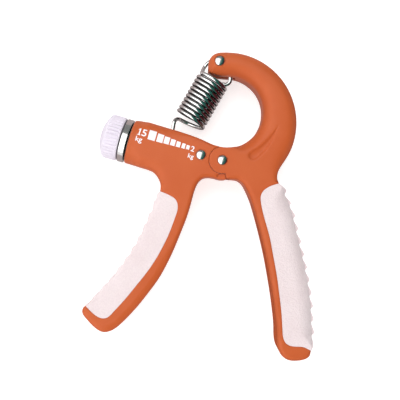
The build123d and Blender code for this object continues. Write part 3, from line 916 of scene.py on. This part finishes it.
def make_print():
    """Scale on the barrel: bars that shrink to the right, with a number and unit at each end."""
    bars = [
        (-37.5, -33.9, -0.6, 4.0), (-33.15, -30.1, -0.5, 3.5), (-29.6, -27.0, -0.35, 3.1),
        (-26.4, -24.1, -0.25, 2.75), (-23.5, -21.5, -0.15, 2.5), (-20.75, -19.1, -0.1, 2.35),
        (-18.5, -16.9, 0.1, 2.1),
    ]
    figure_one = [(-42.9, -41.2, 0.1, 0.45), (-42.35, -41.7, 0.45, 3.5), (-42.85, -42.35, 2.75, 3.15)]
    bm = bmesh.new()
    for x0, x1, y0, y1 in bars + figure_one:
        nx = max(2, int((x1 - x0) / 0.5))
        ny = max(2, int((y1 - y0) / 0.5))
        grid = []
        for i in range(nx + 1):
            x = x0 + (x1 - x0) * i / nx
            grid.append([bm.verts.new((x, y0 + (y1 - y0) * j / ny, 0)) for j in range(ny + 1)])
        for i in range(nx):
            for j in range(ny):
                bm.faces.new((grid[i][j], grid[i + 1][j], grid[i + 1][j + 1], grid[i][j + 1]))
    labels = [
        ("5", (-40.8, 0.1), (-38.5, 3.5)), ("kg", (-43.0, -3.75), (-39.75, -0.5)),
        ("2", (-16.1, -0.25), (-14.4, 2.35)), ("kg", (-16.5, -4.25), (-13.75, -1.5)),
    ]
    for words, corner, far in labels:
        curve = bpy.data.curves.new("label", "FONT")
        curve.body = words
        curve.size = 4
        curve.offset = 0.07
        curve.resolution_u = 4
        text = link("label", curve)
        bpy.context.view_layer.update()
        mesh = bpy.data.meshes.new_from_object(text.evaluated_get(bpy.context.evaluated_depsgraph_get()))
        ink = np.array([v.co[:2] for v in mesh.vertices])
        start, size = ink.min(0), np.ptp(ink, axis=0)
        fit = (np.array(far) - corner) / size
        placed = Matrix.Translation((*corner, 0)) @ Matrix.Diagonal((*fit, 1, 1))
        mesh.transform(placed @ Matrix.Translation((*-start, 0)))
        bm.from_mesh(mesh)
        bpy.data.objects.remove(text)
    bmesh.ops.triangulate(bm, faces=bm.faces)
    for _ in range(3):
        long = [e for e in bm.edges if e.calc_length() > 0.5]
        if long:
            bmesh.ops.subdivide_edges(bm, edges=long, cuts=1)
            bmesh.ops.triangulate(bm, faces=bm.faces)
    bmesh.ops.solidify(bm, geom=bm.faces[:], thickness=PRINT_THICK)
    flat = np.array([v.co for v in bm.verts])
    plane = flat[:, :2].copy()
    height = MID + fixed_height(plane, distance(plane, fixed_loop()))
    top = flat[:, 2] >= flat[:, 2].mean()
    z = np.where(top, height + PRINT_PROUD, height - PRINT_THICK)
    for v, at in zip(bm.verts, z):
        v.co = Vector((v.co.x, v.co.y, at)) * MM
    mesh = bpy.data.meshes.new("scale_print")
    bm.to_mesh(mesh)
    bm.free()
    finish_piece(tidy(link("scale_print", mesh)), PRINT, "fixed_arm", "knob_plastic")


# ================= spring =================

def coil_frame():
    """Low and high end of the coil's axis, and its directions up, right and forward."""
    low = node_box("spring_coils")[0]
    high = node_box("spring_upper_turns")[1]
    lean = math.radians(COIL_LEAN_DEG)
    up = np.array([math.sin(lean), math.cos(lean), 0])
    right = np.array([math.cos(lean), -math.sin(lean), 0])
    forward = np.array([0, 0, 1.0])
    middle = (low + high) / 2
    return middle - up * COIL_LONG / 2, middle + up * COIL_LONG / 2, up, right, forward


def smooth_path(points, step=0.25):
    """Catmull-Rom curve through 3-D points."""
    p = [np.array(q, float) for q in points]
    p = [2 * p[0] - p[1]] + p + [2 * p[-1] - p[-2]]
    out = []
    for a, b, c, d in zip(p, p[1:], p[2:], p[3:]):
        count = max(2, int(np.linalg.norm(c - b) / step))
        for t in np.arange(count) / count:
            low_powers = 2 * b + (c - a) * t + (2 * a - 5 * b + 4 * c - d) * t**2
            out.append(0.5 * (low_powers + (3 * b - a - 3 * c + d) * t**3))
    out.append(p[-2])
    return out


def helix(first, last, low, high, up, right, forward):
    """Points of the coil between two turn counts; both its ends are at its left side."""
    out = []
    for turn in np.arange(first, last + 0.001, 1 / 30):
        angle = 2 * math.pi * (turn + 0.5)
        centre = low + (high - low) * turn / COIL_TURNS
        centre = centre - up * FIRST_TURN_DROP * (1 - float(smooth(turn / 0.8)))
        out.append(centre + COIL_R * (math.cos(angle) * right + math.sin(angle) * forward))
    return out


def hook_points(turns):
    """Path of the bottom hook, round the slider's cross pin and up to the first turn."""
    pin_x, pin_y = CROSS_PIN[0], CROSS_PIN[1]
    bend = pin_x - (node_box("spring_bottom_hook")[0][0] + WIRE_R) - 0.75
    path = [(pin_x + bend, pin_y + 0.5, MID), (pin_x + bend, pin_y, MID)]
    path += [(*polar(bend, d, (pin_x, pin_y)), MID) for d in (-30, -60, -90, -120, -150)]
    path += [(pin_x - bend, pin_y, MID), (pin_x - bend - 0.05, 6.0, MID), (pin_x - bend - 0.25, 8.5, MID)]
    path += [(-28.1, 11.0, MID), (-28.1, 12.6, MID - 0.4), (-27.5, 13.8, MID - 1.8)]
    return path + turns


def paint_crevice_shade(obj, low, high, up, right, forward):
    """Stores painted shade on the wire: dark where one turn of the coil faces the next, where shade
    falls.
    """
    marks = obj.data.color_attributes.new("unshaded", "FLOAT_COLOR", "POINT")
    turns_long = (high - low) @ up
    for vertex, mark in zip(obj.data.vertices, marks.data):
        at = np.array(vertex.co) / MM - low
        radial = math.hypot(at @ right, at @ forward)
        aside = abs(radial - COIL_R) / VISUAL_WIRE_R
        within = smooth((at @ up + 1.5) / 1.5) * smooth((turns_long + 1.0 - at @ up) / 1.5)
        facing = smooth((0.92 - aside) / 0.25) * within * smooth((radial - COIL_R + 2.2) / 0.5)
        axial = abs(np.array(vertex.normal) @ up)
        unshaded = 1 - 0.98 * float(facing * smooth((axial - 0.4) / 0.28))
        mark.color = (unshaded, unshaded, unshaded, 1)


def wire_piece(name, path, nodes):
    obj = tube(name, smooth_path(path), VISUAL_WIRE_R)
    # Painted shade between the coil's turns, kept as a colour attribute on the wire.
    paint_crevice_shade(obj, *coil_frame())
    obj.data.materials.append(WIRE_CREVICE_SHADED)
    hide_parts(*nodes)
    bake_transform(obj)


def make_spring():
    """Extension spring in three lengths of one wire."""
    axes = coil_frame()
    upper, lower = SPLIT_TURNS
    coil = hook_points(helix(FIRST_TURN, lower, *axes))
    wire_piece(
        "spring_coil", coil, ["spring_coils", "spring_bottom_hook"],
    )
    turns = helix(lower, upper, *axes)
    wire_piece(
        "spring_shoulder", turns, ["spring_upper_turns"],
    )

    loop_low, loop_high = node_box("spring_top_loop")
    centre_x = (loop_low[0] + loop_high[0]) / 2
    wide = (loop_high[0] - loop_low[0]) / 2 - WIRE_R
    tall = loop_high[1] - WIRE_R - LOOP_MID_Y
    ring = []
    for degrees in range(166, -1, -14):
        across, rise = polar(1, degrees)
        ring.append((centre_x + wide * across, LOOP_MID_Y + tall * rise, MID))
    tail = [(-7.4, 39.2, MID), (-7.9, 37.8, MID), (-9.0, 36.9, MID), (-10.3, 36.8, MID)]
    path = helix(upper, COIL_TURNS - 0.08, *axes) + ring + tail
    wire_piece(
        "spring_loop", path, ["spring_top_loop"],
    )


# ================= room, light and camera =================


def make_floor():
    """Pale floor, brighter to the camera, that a reflection sees as a grey and a dark red band."""
    mesh = bpy.data.meshes.new("floor")
    bm = bmesh.new()
    bmesh.ops.create_grid(bm, x_segments=8, y_segments=8, size=6)
    bm.to_mesh(mesh)
    bm.free()
    floor = link("floor", mesh)
    mat, tree, shader = material("floor", PALE, 0.9, specular=0.0)
    paper = noise(tree, 900, 3)
    tone = ramp(tree, paper.outputs["Fac"], (0.61, 0.61, 0.61), (0.63, 0.63, 0.63))
    tree.links.new(tone.outputs["Color"], shader.inputs["Base Color"])
    shader.inputs["Emission Color"].default_value = (1, 1, 1, 1)
    card = tree.nodes.new("ShaderNodeEmission")
    where = tree.nodes.new("ShaderNodeTexCoord")
    split = tree.nodes.new("ShaderNodeSeparateXYZ")
    tree.links.new(where.outputs["Object"], split.inputs["Vector"])
    shade = ramp(tree, split.outputs["X"], (0.46, 0.39, 0.385), (0.07, 0.012, 0.016), 10 * MM, 22 * MM)
    tree.links.new(shade.outputs["Color"], card.inputs["Color"])
    ray = tree.nodes.new("ShaderNodeLightPath")
    glow = tree.nodes.new("ShaderNodeMath")
    glow.operation = "MULTIPLY_ADD"
    glow.inputs[1].default_value = 0.30
    glow.inputs[2].default_value = 0.40
    tree.links.new(ray.outputs["Is Camera Ray"], glow.inputs[0])
    tree.links.new(glow.outputs["Value"], shader.inputs["Emission Strength"])
    mix = tree.nodes.new("ShaderNodeMixShader")
    tree.links.new(ray.outputs["Is Glossy Ray"], mix.inputs["Fac"])
    tree.links.new(shader.outputs["BSDF"], mix.inputs[1])
    tree.links.new(card.outputs["Emission"], mix.inputs[2])
    tree.links.new(mix.outputs["Shader"], tree.nodes["Material Output"].inputs["Surface"])
    mesh.materials.append(mat)


def area_light(name, place, target, size, watts, glossy=True):
    """Softbox of a width and height in metres, aimed at a point."""
    light = bpy.data.lights.new(name, "AREA")
    light.shape = "RECTANGLE"
    light.size, light.size_y = size
    light.energy = watts
    obj = link(name, light)
    obj.location = place
    obj.rotation_mode = "QUATERNION"
    obj.rotation_quaternion = (Vector(target) - Vector(place)).to_track_quat("-Z", "Y")
    obj.visible_glossy = glossy
    obj.visible_camera = False


def make_world():
    """Even dim light for matt surfaces. A reflection sees a white side, a teal band and a dark side."""
    world = bpy.data.worlds.new("studio")
    world.use_nodes = True
    bpy.context.scene.world = world
    tree = world.node_tree
    even = tree.nodes["Background"]
    even.inputs["Color"].default_value = (1, 1, 1, 1)
    even.inputs["Strength"].default_value = 0.22
    where = tree.nodes.new("ShaderNodeTexCoord")
    split = tree.nodes.new("ShaderNodeSeparateXYZ")
    tree.links.new(where.outputs["Generated"], split.inputs["Vector"])
    across = ramp(tree, split.outputs["X"], (1.0, 0.99, 1.0), DARK_RED, 0.0, 1.0)
    for place, colour in WORLD_STOPS:
        across.color_ramp.elements.new(place).color = (*colour, 1)
    away = ramp(tree, split.outputs["Y"], (0, 0, 0), (1, 1, 1), 0.42, 0.6)
    ahead = ramp(tree, split.outputs["X"], (1, 1, 1), (0, 0, 0), 0.12, 0.3)
    left_end = tree.nodes.new("ShaderNodeMath")
    left_end.operation = "MULTIPLY"
    tree.links.new(away.outputs["Color"], left_end.inputs[0])
    tree.links.new(ahead.outputs["Color"], left_end.inputs[1])
    mix = tree.nodes.new("ShaderNodeMix")
    mix.data_type = "RGBA"
    tree.links.new(left_end.outputs["Value"], mix.inputs["Factor"])
    tree.links.new(across.outputs["Color"], mix.inputs["A"])
    mix.inputs["B"].default_value = (0.23, 0.24, 0.235, 1)
    gloss = tree.nodes.new("ShaderNodeBackground")
    tree.links.new(mix.outputs["Result"], gloss.inputs["Color"])
    ray = tree.nodes.new("ShaderNodeLightPath")
    both = tree.nodes.new("ShaderNodeMixShader")
    tree.links.new(ray.outputs["Is Glossy Ray"], both.inputs["Fac"])
    tree.links.new(even.outputs["Background"], both.inputs[1])
    tree.links.new(gloss.outputs["Background"], both.inputs[2])
    room = tree.nodes.new("ShaderNodeBackground")
    room.inputs["Color"].default_value = (*PALE, 1)
    seen = tree.nodes.new("ShaderNodeMixShader")
    tree.links.new(ray.outputs["Is Camera Ray"], seen.inputs["Fac"])
    tree.links.new(both.outputs["Shader"], seen.inputs[1])
    tree.links.new(room.outputs["Background"], seen.inputs[2])
    tree.links.new(seen.outputs["Shader"], tree.nodes["World Output"].inputs["Surface"])




def make_camera():
    data = bpy.data.cameras.new("camera")
    data.lens = LENS_MM
    data.sensor_width = 36
    camera = link("camera", data)
    camera.location = (*CAMERA_AXIS, CAMERA_HEIGHT)
    camera.rotation_euler = (0, 0, math.radians(CAMERA_TURN_DEG))
    bpy.context.scene.camera = camera


CAD_FINISH = {
    "orange_plastic": ORANGE, "soft_grip": GRIP, "knob_plastic": KNOB_PLASTIC, "nylon": NYLON,
    "polished_ring": RING_METAL, "bright_steel": STEEL, "spring_steel": WIRE, "plated_steel": ZINC,
    "brass": BRASS,
}


def paint_cad():
    """Every CAD node takes the procedural material of its slot."""
    for part in frame["record"]["subparts"]:
        obj = frame["nodes"][part["node"]]
        obj.data.materials.clear()
        obj.data.materials.append(CAD_FINISH[part["material_slot"]])


make_camera()
make_world()
make_floor()
paint_cad()
make_fixed_arm()
make_moving_arm()
make_grip("grip_palm", FIXED_GRIP_LINE, FIXED_GRIP_BACK, 11, 0.8, 3.0, "fixed_arm", "palm_grip")
make_grip("grip_fingers", MOVING_GRIP_LINE, MOVING_GRIP_BACK, 13, 1.3, 7.2, "moving_arm", "finger_grip")
make_pin("pin_pivot", PIVOT, 2.0, "moving_arm", "pivot_pin")
make_pin("pin_screw", RETAINER, 2.0, "fixed_arm", "screw_retaining_pin")
make_pin("pin_spring", ANCHOR, 1.25, "spring_anchor", "spring_anchor_pin")
make_collar()
make_knob()
make_print()
make_spring()

area_light("key", (-1.03, -0.87, 0.8), (-1.03, -0.871, 0), (2.0, 2.66), 20.5)
area_light("fill", (-0.1, 0.6, 0.9), (0, 0, 0), (1.0, 1.0), 8, glossy=False)
area_light("front", (0.5, -0.85, 0.3), (0, -0.04, 0.01), (0.8, 0.36), 4.5, glossy=False)
area_light("left", (-0.8, -0.42, 0.12), (0.03, 0, 0.01), (0.7, 0.2), 0.8, glossy=False)
bpy.context.scene.view_settings.view_transform = "Standard"
